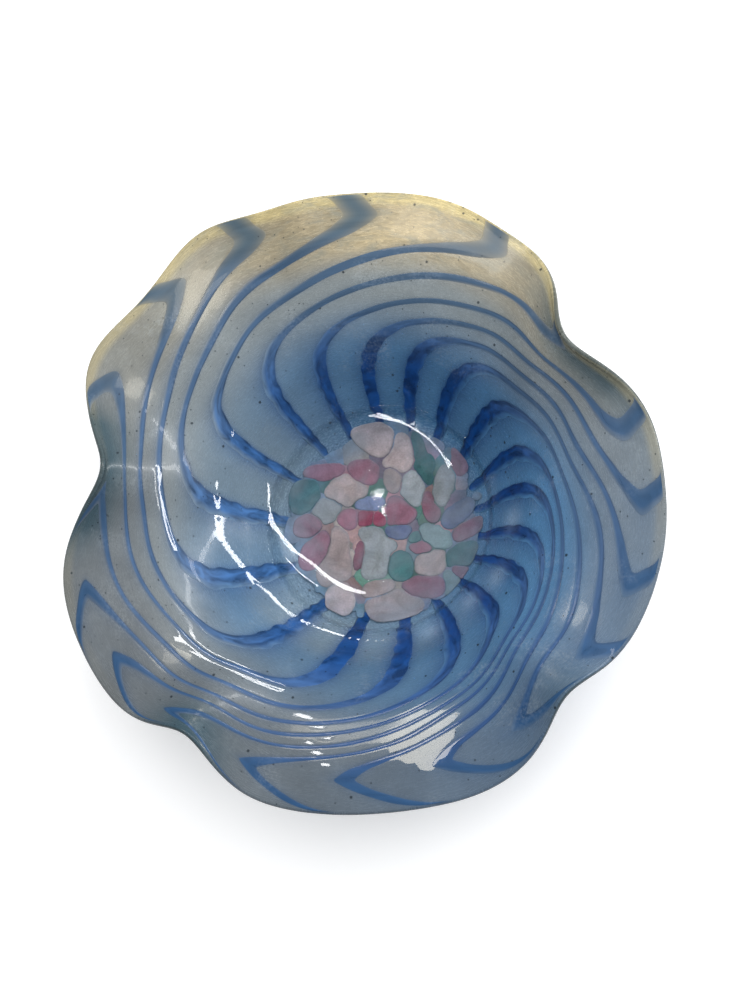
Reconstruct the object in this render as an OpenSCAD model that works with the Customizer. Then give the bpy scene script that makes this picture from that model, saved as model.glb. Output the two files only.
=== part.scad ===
// Ruffled art glass bowl: an opalescent wall with eighteen blue canes swept into a swirl,
// and a disc of coloured glass chips under clear glass in the base.
// The frame's origin is the centre of the foot's resting face, and +Z is up.

/* [Bowl] */
// Radius of the rim before its folds are pulled in
rim_r = 146; // [130:1:160]
// Height of the rim above the inside of the base
rise = 64; // [54:1:74]
// Height of the inside of the base above the table
base_z = 6; // [5.6:0.1:7]
// Thickness of the wall at the base
wall_t = 4; // [3.6:0.1:4.6]
// Thickness of the wall at the lip
lip_t = 2.6; // [2:0.1:3.2]
// How far the rim is ruffled: 1 is the full depth of its folds
ruffle = 1; // [0.2:0.1:1]

/* [Foot] */
// Radius of the foot
foot_r = 38; // [34:1:42]
// Thickness of the foot
foot_t = 2.2; // [2.1:0.1:2.4]
// Radius of the rounded edge of the foot
foot_edge_r = 0.9; // [0.4:0.1:1]
// Radius of the ground pontil mark
pontil_r = 11; // [8:1:16]
// Depth of the ground pontil mark
pontil_depth = 0.8; // [0.4:0.1:1]

/* [Stripes] */
// Depth of a cane below the inside of the wall
cane_depth = 0.9; // [0.4:0.1:1.2]
// Height of a cane's crown above the inside of the wall
cane_crown = 0.3; // [0.1:0.05:0.5]

/* [Chips] */
// Thickness of the glass chips
chip_t = 1.3; // [0.8:0.1:1.4]
// Thickness of the clear glass over the chips
cover_t = 0.6; // [0.4:0.1:0.8]
// Width of the clear glass between neighbouring chips
chip_gap = 0.4; // [0.2:0.1:0.8]

/* [Hidden] */
$fn = 96;

// ---- The wall's shape ----
// Inside of the wall as [radius, height] steps from the middle of the base: first the shallow
// dish of the base in mm, then the wall as parts of its reach and of its rise
dish_r = 50;
DISH = [[0, 0], [18, 0], [35, 0.5], [dish_r, 7]];
FLARE = [[0.167, 0.375], [0.333, 0.64], [0.52, 0.83], [0.75, 0.94], [1, 1]];
PROFILE = concat(
    [for (p = DISH) [p[0], base_z + p[1]]],
    [for (p = FLARE) [dish_r + p[0] * (rim_r - dish_r), base_z + p[1] * rise]]
);

// Folds of the rim: [angle, pull towards the middle in mm, half width in degrees, lift in mm].
// A negative pull is an outward lobe.
FOLDS = [
    [5, 4, 14, 5], [32, 29, 15, 16], [58, 5, 11, 0], [100, 3, 9, 8], [120, -11, 10, -3],
    [149, -8, 9, -3], [172, 33, 13, 16], [235, 16, 10, 12], [295, -4, 14, -2], [315, 8, 9, 12]
];
// The rim leans out of round towards this angle
lean_angle = 135;
lean = 7;
rim_growth = 2;
rim_sag = 5;
// Part of the way out at which ruffling starts, and how sharply it grows
ruffle_start = 0.5;
ruffle_power = 2.2;

// ---- The swirl ----
// A cane's run as [way out, part of its sweep], from the base to the lip: a straight spoke,
// a knee, a long sweep, and a hook at the rim
RUN = [
    [0.42, 0], [0.47, -0.003], [0.53, 0], [0.59, 0.012], [0.65, 0.04], [0.70, 0.11],
    [0.74, 0.23], [0.77, 0.36], [0.80, 0.50], [0.83, 0.63], [0.86, 0.75], [0.885, 0.86],
    [0.91, 0.945], [0.94, 1], [0.97, 1], [1, 1]
];
// Each cane: [start angle, sweep, hook back at the lip, slump of its knee,
// half width of the spoke, half width of the sweep], in degrees but for the slump
CANES = [
    [4, 96, 17, -0.020, 3.2, 2.0], [18, 90, 17, -0.035, 3.5, 2.0], [36, 91, 13, -0.035, 4.5, 2.2],
    [55, 91, 4, -0.035, 4.0, 2.4], [73, 94, 4, -0.035, 3.5, 2.4], [91, 96, 3, -0.035, 3.2, 2.4],
    [110, 100, 3, -0.025, 3.0, 2.4], [129, 96, 2, -0.005, 3.2, 2.8], [152, 92, 1, 0, 3.2, 3.2],
    [177, 88, 3, 0.005, 4.2, 3.4], [205, 93, 2, 0, 4.8, 3.2], [234, 104, 5, 0, 4.5, 2.8],
    [259, 107, 6, 0, 4.5, 2.2], [283, 106, 6, 0.005, 4.2, 2.2], [303, 107, 10, 0.01, 3.8, 2.0],
    [320, 108, 16, 0.01, 3.5, 1.8], [335, 106, 17, 0.01, 3.0, 1.8], [348, 100, 16, 0, 3.0, 1.8]
];
// The canes bow out or in where the rim was folded: [angle, half width, shift of the way out]
WAVES = [
    [9, 12, -0.035], [28, 9, 0.02], [150, 10, -0.02], [172, 9, 0.04],
    [213, 10, -0.01], [235, 10, 0.02], [292, 10, -0.01], [312, 12, 0.012]
];
// The hooks sit lower on this side of the rim
hook_drop_angle = 285;
hook_drop_spread = 45;
hook_drop = 0.025;

// ---- Mesh steps ----
run_steps = 2 * (len(RUN) - 1);
panel_steps = 3;
cane_end = RUN[0][0];
base_steps = 8;
outer_steps = 16;
inmost = 0.08;
lip_steps = 4;

// ---- Glass chips ----
// Each chip: [name, x, y, length, width, turn, seed of its outline]
CHIPS = [
    ["chip_red_1", -10.5, 3, 9, 8, 0, 3],
    ["chip_red_2", -3, 2.5, 7, 6, 20, 8],
    ["chip_rose_1", 6, 5.5, 13, 12, 30, 5],
    ["chip_rose_2", -12, 27, 13, 10, -10, 2],
    ["chip_rose_3", -31, 29, 16, 6, 8, 9],
    ["chip_rose_4", -40, 1.5, 12, 8, 45, 4],
    ["chip_rose_5", -19.5, 4, 11, 8, -20, 7],
    ["chip_rose_6", 23, 8, 15, 6, 105, 6],
    ["chip_rose_7", 41, 30, 12, 8, 75, 12],
    ["chip_rose_8", 43, -6.5, 17, 6, 18, 14],
    ["chip_rose_9", 22, -33.5, 24, 8, -4, 15],
    ["chip_rose_10", 40, -28, 10, 5, -32, 16],
    ["chip_rose_11", -13, -14, 15, 5, 82, 17],
    ["chip_rose_12", -34.5, -12, 18, 9, 62, 18],
    ["chip_rose_13", 19, -13, 10, 5, -5, 19],
    ["chip_salmon_1", -21, 18.5, 17, 12, 35, 20],
    ["chip_salmon_2", -25.5, -16, 24, 12, 90, 21],
    ["chip_salmon_3", -3, 43.5, 20, 11, -32, 22],
    ["chip_salmon_4", 8, 34.5, 17, 12, 100, 23],
    ["chip_salmon_5", 4.5, 24, 12, 7, 105, 24],
    ["chip_salmon_6", 24.5, -21, 15, 11, 25, 25],
    ["chip_salmon_7", 5, -43, 22, 13, -12, 26],
    ["chip_salmon_8", -2.5, -33, 13, 7, 8, 27],
    ["chip_salmon_9", -22.5, -38, 16, 9, 112, 28],
    ["chip_white_1", -6, -14, 25, 15, 108, 29],
    ["chip_white_2", -30, 9.5, 17, 9, 28, 30],
    ["chip_white_3", 14.5, 18.5, 17, 10, 98, 31],
    ["chip_white_4", 30, 17, 18, 8, 70, 32],
    ["chip_lavender_1", -8, 11, 15, 5, -4, 33],
    ["chip_lavender_2", 37.5, 2.5, 17, 7, 38, 34],
    ["chip_lavender_3", 6, -4.5, 11, 6, 0, 35],
    ["chip_mint_1", 26, -8.5, 16, 9, -24, 36],
    ["chip_mint_2", 35.5, -34.5, 15, 8, 112, 37],
    ["chip_green_1", 39, -19.5, 16, 9, 0, 38],
    ["chip_green_2", 16, -8, 6, 5, 40, 39],
    ["chip_green_3", 7, -23, 15, 10, 120, 40],
    ["chip_green_4", 20, 31, 24, 5, 104, 41],
    ["chip_green_5", -41, 16, 15, 9, 70, 42]
];
// Crumbs of the same glass between the chips, as one group
CRUMBS = [
    ["crumb", 1.5, -1.5, 4, 3.5, 0, 51], ["crumb", -2, 29, 7, 6, 60, 52],
    ["crumb", 15.5, 9, 6, 5.5, 30, 53], ["crumb", -3, 19, 6, 5, 0, 54],
    ["crumb", -33, -29, 10, 6, -40, 55], ["crumb", 27, 36, 10, 5, 110, 56],
    ["crumb", -33, 20, 9, 4, 65, 57], ["crumb", 44, 17, 7, 5, 60, 58]
];
chip_corners = 9;
// Clear glass between the outermost chips and the canes' ends
chip_margin = 1.5;

STRIPE_NAMES = [for (i = [0:len(CANES) - 1]) str("stripe_", i < 9 ? "0" : "", i + 1)];

// ---- Helpers ----
function clamp01(x) = min(1, max(0, x));
function total(v, i = 0) = i < len(v) ? v[i] + total(v, i + 1) : 0;
function turn_between(a, b) = let (d = a - b) d - 360 * round(d / 360);
function bell(a, middle, spread) = exp(-pow(turn_between(a, middle) / spread, 2));
function unit(v) = v / norm(v);
function mix(a, b, t) = a * (1 - t) + b * t;

// Smooth curve through evenly spaced points, at t from 0 to 1
function smooth_at(points, t) =
    let (
        last = len(points) - 1,
        x = clamp01(t) * last,
        i = min(floor(x), last - 1),
        f = x - i,
        a = points[max(i - 1, 0)],
        b = points[i],
        c = points[i + 1],
        d = points[min(i + 2, last)]
    )
    0.5 * (2 * b + (c - a) * f + (2 * a - 5 * b + 4 * c - d) * f * f + (3 * b - a - 3 * c + d) * f * f * f);

// ---- The inside and outside of the wall, by way out (0 to 1) and angle ----
function fold_at(angle, column) = total([for (f = FOLDS) f[column] * bell(angle, f[0], f[2])]);
function rim_push(angle) = rim_growth + lean * cos(angle - lean_angle) - ruffle * fold_at(angle, 1);
function rim_lift(angle) = ruffle * fold_at(angle, 3) - rim_sag;
function inside(way, angle) =
    let (
        p = smooth_at(PROFILE, way),
        w = pow(clamp01((way - ruffle_start) / (1 - ruffle_start)), ruffle_power),
        r = p[0] + w * rim_push(angle)
    )
    [r * cos(angle), r * sin(angle), p[1] + w * rim_lift(angle)];

function along(way, angle) = unit(inside(way + 0.002, angle) - inside(way - 0.002, angle));
function outward(way, angle) =
    let (w = min(way, 0.998))
    unit(cross(inside(w, angle + 0.2) - inside(w, angle - 0.2), along(w, angle)) * -1);
function thickness(way) = lip_t + (wall_t - lip_t) * clamp01(2 * (1 - way));
function outside(way, angle) =
    let (
        down = outward(way, angle) * (outward(way, angle)[2] > 0 ? -1 : 1),
        p = inside(way, angle) + down * thickness(way)
    )
    [p[0], p[1], max(p[2], foot_t)];

// ---- The swirl, by cane and step of its run ----
function knee_weight(u) = clamp01((u - 1) / 3) * clamp01((12 - u) / 6);
function hook_weight(u) = pow(clamp01((u - 13) / 2), 1.3);
function half_width(cane, u) =
    mix(cane[4], cane[5], clamp01((u - 4) / 4)) * (0.6 + 0.4 * clamp01(u)) * (1 + 0.2 * clamp01((u - 12) / 2));
// A cane's [way, angle] at step u of its run, before the rim is folded
function cane_middle(cane, u) =
    let (p = smooth_at(RUN, u / (len(RUN) - 1)))
    [
        p[0] + cane[3] * knee_weight(u),
        cane[0] - cane[1] * p[1] + cane[2] * hook_weight(u)
    ];
// The fold moves every point of the swirl with it
function folded(q) =
    let (
        bow = total([for (w = WAVES) w[2] * bell(q[1], w[0], w[1])]),
        drop = hook_drop * bell(q[1], hook_drop_angle, hook_drop_spread),
        bow_weight = clamp01((q[0] - 0.70) / 0.12) * clamp01((1 - q[0]) / 0.08),
        drop_weight = clamp01((q[0] - 0.84) / 0.08) * clamp01((1 - q[0]) / 0.05)
    )
    [q[0] + bow * bow_weight - drop * drop_weight, q[1]];

// One row of the swirl's columns. Each cane gives its edge, its middle and its other edge,
// and then come the columns of the panel up to the next cane. Each is [way, angle, is_middle].
function swirl_row(u) = [
    for (i = [0:len(CANES) - 1])
        let (
            next = (i + 1) % len(CANES),
            m = cane_middle(CANES[i], u),
            h = half_width(CANES[i], u),
            nm = cane_middle(CANES[next], u) + [0, next == 0 ? 360 : 0],
            nh = half_width(CANES[next], u),
            near_edge = m + [0, h],
            far_edge = nm - [0, nh]
        )
        each concat(
            [concat(folded(m - [0, h]), 0), concat(folded(m), 1), concat(folded(near_edge), 0)],
            [for (k = [1:panel_steps - 1]) concat(folded(mix(near_edge, far_edge, k / panel_steps)), 0)]
        )
];

// ---- Solids ----
// Closes a stack of rings, from one middle point to the other, with triangles
module skin(rings, first_point, last_point) {
    n = len(rings[0]);
    count = len(rings);
    points = concat([first_point], [for (r = rings) each r], [last_point]);
    function at(ring, column) = 1 + ring * n + column % n;
    faces = concat(
        [for (c = [0:n - 1]) [0, at(0, c + 1), at(0, c)]],
        [for (r = [0:count - 2], c = [0:n - 1]) each [
            [at(r, c), at(r, c + 1), at(r + 1, c + 1)],
            [at(r, c), at(r + 1, c + 1), at(r + 1, c)]
        ]],
        [for (c = [0:n - 1]) [len(points) - 1, at(count - 1, c), at(count - 1, c + 1)]]
    );
    polyhedron(points = points, faces = faces);
}

// The gather: a pocket for the clear casing in the base, channels for the canes, a round lip
module bowl_wall() {
    pocket = cover_t + chip_t;
    row_in = swirl_row(0);
    row_out = swirl_row(len(RUN) - 1);
    floor_rings = [for (k = [1:base_steps]) [for (q = row_in)
        inside(cane_end * k / base_steps, q[1]) - [0, 0, pocket]]];
    swirl_rings = [for (j = [0:run_steps]) [for (q = swirl_row(j * (len(RUN) - 1) / run_steps))
        inside(q[0], q[1]) + outward(q[0], q[1]) * (q[2] * cane_depth)]];
    lip_rings = [for (k = [1:lip_steps - 1]) [for (q = row_out)
        let (
            inner = inside(1, q[1]),
            outer = outside(1, q[1]),
            half = (inner - outer) / 2,
            turn = 180 * k / lip_steps
        )
        outer + half + half * cos(turn) + along(0.998, q[1]) * norm(half) * sin(turn)]];
    outer_rings = [for (k = [0:outer_steps]) [for (q = row_out)
        outside(mix(1, inmost, k / outer_steps), q[1])]];
    color("lightslategray")
        skin(
            concat(floor_rings, swirl_rings, lip_rings, outer_rings),
            [0, 0, base_z - pocket], [0, 0, foot_t]
        );
}

// A cane lies in its channel in the wall, lens-shaped in section
module stripe(i) {
    column = i * (2 + panel_steps);
    rows = [for (j = [0:run_steps])
        let (row = swirl_row(j * (len(RUN) - 1) / run_steps))
        [row[column], row[column + 1], row[column + 2]]];
    points = [for (row = rows)
        let (out = outward(row[1][0], row[1][1]), middle = inside(row[1][0], row[1][1]))
        each [
            inside(row[0][0], row[0][1]),
            middle + out * cane_depth,
            inside(row[2][0], row[2][1]),
            middle - out * cane_crown
        ]];
    last = 4 * run_steps;
    faces = concat(
        [[3, 2, 1, 0]],
        [for (j = [0:run_steps - 1], k = [0:3])
            let (a = 4 * j + k, b = 4 * j + (k + 1) % 4)
            each [[a, b + 4, a + 4], [a, b, b + 4]]],
        [[last, last + 1, last + 2, last + 3]]
    );
    color("steelblue")
        polyhedron(points = points, faces = faces);
}

// Turned from the dish of the base, between two depths below its inside
module dish_layer(top, bottom, margin = 0) {
    curve = [for (k = [0:base_steps]) smooth_at(PROFILE, cane_end * k / base_steps)];
    reach = curve[base_steps][0] - margin;
    rotate_extrude()
        intersection() {
            polygon(concat(
                [for (p = curve) p - [0, top]],
                [for (k = [base_steps:-1:0]) curve[k] - [0, bottom]]
            ));
            square([reach, base_z + rise]);
        }
}

// A chip's irregular outline: an oval whose corners are each pushed in or out
module chip_outline(chip, grow = 0) {
    knocks = rands(0.84, 1.06, chip_corners, chip[6]);
    shifts = rands(-9, 9, chip_corners, chip[6] + 100);
    translate([chip[1], chip[2]])
        rotate(chip[5])
            polygon([for (k = [0:chip_corners - 1])
                let (a = 360 * k / chip_corners + shifts[k])
                [(chip[3] / 2 * knocks[k] + grow) * cos(a), (chip[4] / 2 * knocks[k] + grow) * sin(a)]]);
}

function chips_meet(a, b) =
    norm([a[1] - b[1], a[2] - b[2]]) < (max(a[3], a[4]) + max(b[3], b[4])) / 2 + chip_gap;

// A chip keeps clear of those that come before it in the list
module chip_column(list, i) {
    linear_extrude(height = base_z + rise)
        difference() {
            chip_outline(list[i]);
            for (j = [0:1:i - 1])
                if (chips_meet(list[i], list[j]))
                    chip_outline(list[j], chip_gap);
        }
}

ALL_CHIPS = concat(CHIPS, CRUMBS);

module chip(i) {
    intersection() {
        dish_layer(cover_t, cover_t + chip_t, chip_margin);
        chip_column(ALL_CHIPS, i);
    }
}

function chip_colour(name) =
    let (kind = search("_", name, 0)[0], word = [for (k = [kind[0] + 1:kind[1] - 1]) name[k]])
    word[0] == "r" ? (word[1] == "e" ? "crimson" : "palevioletred")
    : word[0] == "s" ? "lightsalmon"
    : word[0] == "w" ? "lavender"
    : word[0] == "l" ? "thistle"
    : word[0] == "m" ? "honeydew"
    : "seagreen";

// Clear glass that fills the base's pocket around and over the chips
module inner_casing() {
    color("aliceblue", 0.4)
        difference() {
            dish_layer(0, cover_t + chip_t);
            for (i = [0:len(ALL_CHIPS) - 1])
                chip(i);
        }
}

// Clear pad fused under the base, with a rounded edge and a ground pontil mark
module foot() {
    edge = [for (a = [0:15:90]) [
        foot_r - foot_edge_r * (1 - cos(a)),
        foot_edge_r * (1 - sin(a))
    ]];
    color("lightcyan")
        rotate_extrude()
            polygon(concat(
                [[0, foot_t], [foot_r, foot_t]],
                edge,
                [[pontil_r, 0], [pontil_r - 1, pontil_depth * 0.6], [pontil_r - 4, pontil_depth], [0, pontil_depth]]
            ));
}

foot();
bowl_wall();
inner_casing();
for (i = [0:len(CANES) - 1])
    stripe(i);
for (i = [0:len(CHIPS) - 1])
    color(chip_colour(CHIPS[i][0])) chip(i);
for (i = [len(CHIPS):len(ALL_CHIPS) - 1])  // chip_crumbs
        color("rosybrown") chip(i);
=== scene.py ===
"""Ruffled art glass bowl: the looks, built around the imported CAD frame."""
import math

import bpy
import numpy as np
from mathutils import Matrix, Vector
from mathutils.geometry import convex_hull_2d


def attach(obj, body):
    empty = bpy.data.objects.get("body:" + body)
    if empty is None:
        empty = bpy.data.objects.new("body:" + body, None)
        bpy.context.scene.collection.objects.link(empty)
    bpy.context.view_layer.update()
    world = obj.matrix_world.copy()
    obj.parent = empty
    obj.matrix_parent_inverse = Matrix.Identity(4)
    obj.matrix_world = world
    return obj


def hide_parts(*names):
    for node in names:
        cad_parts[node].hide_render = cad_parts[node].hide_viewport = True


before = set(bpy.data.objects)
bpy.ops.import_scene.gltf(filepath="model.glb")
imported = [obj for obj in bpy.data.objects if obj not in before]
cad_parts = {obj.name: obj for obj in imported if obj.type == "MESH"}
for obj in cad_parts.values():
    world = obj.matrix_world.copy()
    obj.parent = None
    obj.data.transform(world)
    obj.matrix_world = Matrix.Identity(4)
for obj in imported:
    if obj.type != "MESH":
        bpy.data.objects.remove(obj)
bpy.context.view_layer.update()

MM = 0.001

# ---------------------------------------------------------------- the glass, as in the CAD model
# Lengths are in millimetres. "way" is the way out from the middle of the base (0) to the lip (1).
RIM_R = 146.0
RISE = 64.0
BASE_Z = 6.0
WALL_T = 4.0
LIP_T = 2.6
FOOT_T = 2.2
DISH_R = 50.0
DISH = [(0, 0), (18, 0), (35, 0.5), (DISH_R, 7)]
FLARE = [(0.167, 0.375), (0.333, 0.64), (0.52, 0.83), (0.75, 0.94), (1, 1)]
PROFILE = np.array(
    [(r, BASE_Z + z) for r, z in DISH]
    + [(DISH_R + r * (RIM_R - DISH_R), BASE_Z + z * RISE) for r, z in FLARE]
)
# angle, pull towards the middle, half width in degrees, lift
FOLDS = [
    (5, 4, 14, 5), (32, 29, 15, 16), (58, 5, 11, 0), (100, 3, 9, 8), (120, -11, 10, -3),
    (149, -8, 9, -3), (172, 33, 13, 16), (235, 16, 10, 12), (295, -4, 14, -2), (315, 8, 9, 12),
]
LEAN, LEAN_ANGLE, RIM_GROWTH, RIM_SAG = 7.0, 135.0, 2.0, 5.0
RUFFLE_START, RUFFLE_POWER = 0.5, 2.2

# A cane's run: way out, part of its sweep
RUN = np.array([
    (0.42, 0), (0.47, -0.003), (0.53, 0), (0.59, 0.012), (0.65, 0.04), (0.70, 0.11),
    (0.74, 0.23), (0.77, 0.36), (0.80, 0.50), (0.83, 0.63), (0.86, 0.75), (0.885, 0.86),
    (0.91, 0.945), (0.94, 1), (0.97, 1), (1, 1),
])
RUN_LAST = len(RUN) - 1
# start angle, sweep, hook back at the lip, slump of the knee, half width of spoke, of sweep
CANES = [
    (4, 96, 17, -0.020, 3.2, 2.0), (18, 90, 17, -0.035, 3.5, 2.0), (36, 91, 13, -0.035, 4.5, 2.2),
    (55, 91, 4, -0.035, 4.0, 2.4), (73, 94, 4, -0.035, 3.5, 2.4), (91, 96, 3, -0.035, 3.2, 2.4),
    (110, 100, 3, -0.025, 3.0, 2.4), (129, 96, 2, -0.005, 3.2, 2.8), (152, 92, 1, 0, 3.2, 3.2),
    (177, 88, 3, 0.005, 4.2, 3.4), (205, 93, 2, 0, 4.8, 3.2), (234, 104, 5, 0, 4.5, 2.8),
    (259, 107, 6, 0, 4.5, 2.2), (283, 106, 6, 0.005, 4.2, 2.2), (303, 107, 10, 0.01, 3.8, 2.0),
    (320, 108, 16, 0.01, 3.5, 1.8), (335, 106, 17, 0.01, 3.0, 1.8), (348, 100, 16, 0, 3.0, 1.8),
]
# angle, half width, shift of the way out where the rim was folded
WAVES = [
    (9, 12, -0.035), (28, 9, 0.02), (150, 10, -0.02), (172, 9, 0.04),
    (213, 10, -0.01), (235, 10, 0.02), (292, 10, -0.01), (312, 12, 0.012),
]
HOOK_DROP, HOOK_DROP_ANGLE, HOOK_DROP_SPREAD = 0.025, 285.0, 45.0
POCKET_WAY = RUN[0, 0]


def ramp(x, start, end):
    """0 before start, 1 after end, straight between."""
    return np.clip((x - start) / (end - start), 0, 1)


def smooth_ramp(x, start, end):
    t = ramp(x, start, end)
    return t * t * (3 - 2 * t)


def bell(angle, middle, spread):
    turn = (angle - middle + 180) % 360 - 180
    return np.exp(-((turn / spread) ** 2))


def smooth_at(points, t):
    """Smooth curve through evenly spaced points, at t from 0 to 1."""
    last = len(points) - 1
    x = np.clip(t, 0, 1) * last
    i = np.minimum(np.floor(x).astype(int), last - 1)
    f = (x - i)[..., None]
    a, b = points[np.maximum(i - 1, 0)], points[i]
    c, d = points[i + 1], points[np.minimum(i + 2, last)]
    cubic = (3 * b - a - 3 * c + d) * f**3
    return 0.5 * (2 * b + (c - a) * f + (2 * a - 5 * b + 4 * c - d) * f**2 + cubic)


def fold_sum(angle, column):
    return sum(f[column] * bell(angle, f[0], f[2]) for f in FOLDS)


def inside(way, angle):
    """Points on the inside of the wall."""
    p = smooth_at(PROFILE, way)
    w = ramp(way, RUFFLE_START, 1) ** RUFFLE_POWER
    lean = RIM_GROWTH + LEAN * np.cos(np.radians(angle - LEAN_ANGLE))
    r = p[..., 0] + w * (lean - fold_sum(angle, 1))
    z = p[..., 1] + w * (fold_sum(angle, 3) - RIM_SAG)
    a = np.radians(angle)
    return np.stack([r * np.cos(a), r * np.sin(a), z], -1)


def unit(v):
    return v / np.linalg.norm(v, axis=-1, keepdims=True)


def along(way, angle):
    w = np.clip(way, 0.01, 0.998)
    return unit(inside(w + 0.002, angle) - inside(w - 0.002, angle))


def outward(way, angle):
    """Out of the bowl, square to its wall."""
    w = np.clip(way, 0.01, 0.998)
    around = inside(w, angle + 0.2) - inside(w, angle - 0.2)
    return unit(np.cross(around, along(w, angle)))


def outside(way, angle):
    thickness = LIP_T + (WALL_T - LIP_T) * np.clip(2 * (1 - way), 0, 1)
    p = inside(way, angle) + outward(way, angle) * thickness[..., None]
    p[..., 2] = np.maximum(p[..., 2], FOOT_T)
    return p


def bow(way, angle):
    """How far the fold beside a point shifts it along the way out."""
    shift = sum(w[2] * bell(angle, w[0], w[1]) for w in WAVES)
    drop = HOOK_DROP * bell(angle, HOOK_DROP_ANGLE, HOOK_DROP_SPREAD)
    bow_weight = ramp(way, 0.70, 0.82) * ramp(way, 1, 0.92)
    drop_weight = ramp(way, 0.84, 0.92) * ramp(way, 1, 0.95)
    return shift * bow_weight - drop * drop_weight


def cane_middle(cane, u):
    """Way and angle of a cane's middle at step u of its run, before the rim is folded."""
    start, sweep, hook, slump = cane[:4]
    p = smooth_at(RUN, u / RUN_LAST)
    knee = ramp(u, 1, 4) * ramp(u, 12, 6)
    angle = start - sweep * p[..., 1] + hook * ramp(u, 13, 15) ** 1.3
    return p[..., 0] + slump * knee, angle


# How far the colour of a cane's sweep spreads in the glass beyond the cane's own width
SWEEP_SPREAD = 1.4


def half_width(cane, u):
    sweep = cane[5] * SWEEP_SPREAD
    width = cane[4] + (sweep - cane[4]) * ramp(u, 4, 8)
    return width * (0.8 + 0.2 * ramp(u, -0.5, 1)) * (1 - 0.25 * ramp(u, 12, 14))


CANE_SIDES = np.array([-1.5, -1.2, -1.0, -0.7, 0, 0.7, 1.0, 1.2, 1.5])
PANEL_STEPS = 13


def flow_grid(u):
    """A grid that runs along the canes, with a row for each step in u.

    Gives each point's way out, its angle, and its distance past the cane before it and the cane
    after it, in those canes' half widths. The second distance is negative.
    """
    middles = [cane_middle(cane, u) for cane in CANES]
    way = np.stack([m[0] for m in middles], -1)[..., None]
    angle = np.stack([m[1] for m in middles], -1)[..., None]
    half = np.stack([half_width(cane, u) for cane in CANES], -1)[..., None]
    next_way, next_angle, next_half = (np.roll(v, -1, axis=1) for v in (way, angle, half))
    next_angle[:, -1] += 360
    t = np.arange(1, PANEL_STEPS + 1) / (PANEL_STEPS + 1)
    edge = CANE_SIDES[-1]
    panel = (angle + edge * half) * (1 - t) + (next_angle - edge * next_half) * t
    ways = np.concatenate([way + 0 * CANE_SIDES, way * (1 - t) + next_way * t], -1)
    angles = np.concatenate([angle + half * CANE_SIDES, panel], -1)
    past = (angles - angle) / half
    ahead = np.where(past > edge + 1e-6, (angles - next_angle) / next_half, past)
    rows = len(u)
    return tuple(v.reshape(rows, -1) for v in (ways, angles, past, ahead))


# ---------------------------------------------------------------- camera
# The photo's viewpoint, as fitted to the outline of the rim and the disc of chips, in metres
CAMERA_AIM = Vector((0, 0, 0.040))
CAMERA_TILT = math.radians(20)
CAMERA_TURN = math.radians(-44)
CAMERA_DISTANCE = 0.620
CAMERA_LENS, CAMERA_SENSOR = 46.2, 36
CAMERA_SHIFT = (0.007, 0.008)
TOWARD_CAMERA = Vector((
    math.sin(CAMERA_TILT) * math.cos(CAMERA_TURN),
    math.sin(CAMERA_TILT) * math.sin(CAMERA_TURN),
    math.cos(CAMERA_TILT),
))
CAMERA_EYE = np.array(CAMERA_AIM + TOWARD_CAMERA * CAMERA_DISTANCE) / MM


# ---------------------------------------------------------------- colours
def rgb(red, green, blue):
    """A display colour, 0 to 255, as linear light."""
    c = np.array([red, green, blue]) / 255
    return np.where(c <= 0.04045, c / 12.92, ((c + 0.055) / 1.055) ** 2.4)


# The wall, from its middle to its rim
BASE_HAZE = rgb(88, 112, 138)
BLUE_HAZE = rgb(74, 118, 158)
GREY_HAZE = rgb(128, 144, 154)
SMOKE = rgb(130, 138, 141)
COOL_SMOKE = rgb(92, 114, 138)
# Grey of the painted shade on the left of the bowl, towards the rim
PAINTED_SHADE_GREY = rgb(98, 104, 110)
GOLD = rgb(174, 159, 126)
LIP_GOLD = rgb(206, 190, 138)
LIP_LINE = rgb(66, 78, 82)
TEAL_EDGE = rgb(50, 76, 88)
# Whitish blue of the painted sheen
PAINTED_SHEEN_WHITE = rgb(150, 176, 204)
# The canes: spokes round the base, thin sweeps, hooks at the rim
DEEP_SPOKE = rgb(6, 54, 112)
PALE_SPOKE = rgb(66, 106, 154)
THIN_SWEEP = rgb(68, 95, 130)
DARK_SWEEP = rgb(46, 76, 122)
GREY_SWEEP = rgb(62, 84, 106)
BLUE_HOOK = rgb(42, 76, 114)
GREY_HOOK = rgb(78, 94, 104)

# Angles of three sides of the bowl, as the photo shows them. Painted light lightens the wall at the
# right side
GOLD_SIDE, LEFT_SIDE, RIGHT_SIDE = 82, 180, 355
# Middle of each patch of painted sheen on the wall, as way out and angle, and how far the patches
# spread
PAINTED_SHEEN_PATCHES = [(0.50, 295), (0.495, 316), (0.535, 330), (0.526, 353)]
SHEEN_PATCH_WAY, SHEEN_PATCH_TURN = 0.035, 4.5


def mix(a, b, t):
    """From colour a to colour b as t goes from 0 to 1."""
    t = np.asarray(t)[..., None]
    return a * (1 - t) + b * t


def gold_amount(way, angle):
    """How much gold lustre the wall has."""
    return smooth_ramp(way, 0.79, 0.90) * bell(angle, GOLD_SIDE, 50)


def painted_sheen(way, angle):
    """1 in the middle of a patch of painted sheen, 0 away from them all."""
    patches = [
        np.exp(-(((way - middle) / SHEEN_PATCH_WAY) ** 2)) * bell(angle, turn, SHEEN_PATCH_TURN)
        for middle, turn in PAINTED_SHEEN_PATCHES
    ]
    return sum(patches)


def painted_light_and_shade(way, angle):
    """How light the wall is, as painted light and shade: painted shade at the front, painted light
    at the right.
    """
    # Painted shade, darker at the front
    dark = 0.24 * bell(angle, 270, 42) * smooth_ramp(way, 0.46, 0.54)
    painted_light_band = smooth_ramp(way, 0.5, 0.58) * smooth_ramp(way, 0.8, 0.7)
    # Painted light, lighter in a band at the right
    return 1 - dark + 0.2 * bell(angle, RIGHT_SIDE, 32) * painted_light_band


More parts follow.
